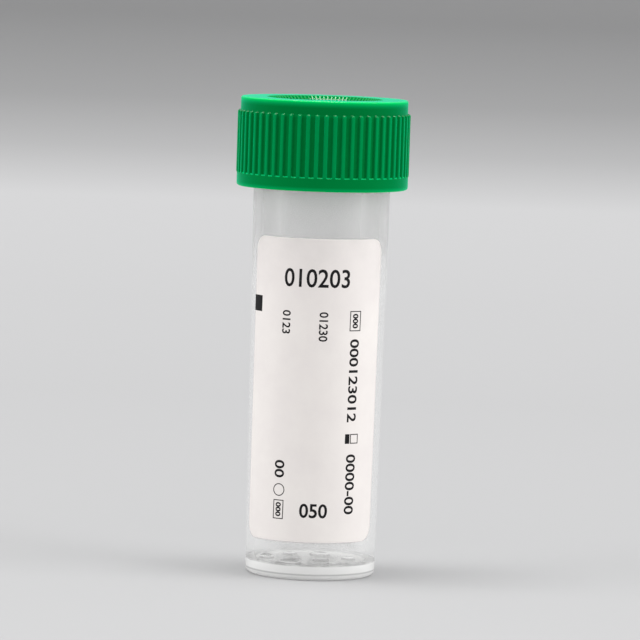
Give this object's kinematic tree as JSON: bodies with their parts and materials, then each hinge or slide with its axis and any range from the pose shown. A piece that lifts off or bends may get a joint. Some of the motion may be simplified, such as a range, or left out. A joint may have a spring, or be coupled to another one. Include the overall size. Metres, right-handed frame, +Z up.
{
  "type": "blood collection tube",
  "caption": "Flat-based frosted sample tube with a ribbed screw cap on a helical thread, a sealing liner, a paper label and drops of liquid additive inside.",
  "frame": {"origin": "centre of the base, on the surface that the tube stands on", "axes": "+Z up along the tube's axis towards the cap; the label faces -Y"},
  "size_m": [0.0206, 0.0206, 0.0571],
  "materials": {
    "frosted_polypropylene": "translucent, fine satin",
    "green_plastic": "moulded, semi-gloss",
    "liner_elastomer": "smooth, matt",
    "label_paper": null,
    "additive_liquid": "clear liquid"
  },
  "bodies": {
    "tube": {"tube": "frosted_polypropylene", "label": "label_paper", "additive_drops": "additive_liquid"},
    "liner": {"cap_liner": "liner_elastomer"},
    "cap": {"screw_cap": "green_plastic"}
  },
  "joints": [
    {"name": "liner_rise", "type": "slide", "parent": "tube", "child": "liner", "axis": [0, 0, 1], "range_m": [0, 0.012]},
    {"name": "cap_turn", "type": "hinge", "parent": "liner", "child": "cap", "pos_m": [0, 0, 0.0468], "axis": [0, 0, 1], "range_deg": [0, 1440]}
  ],
  "couplings": [
    {"joint": "liner_rise", "follows": "cap_turn", "m_per_rad": 0.00047746}
  ]
}
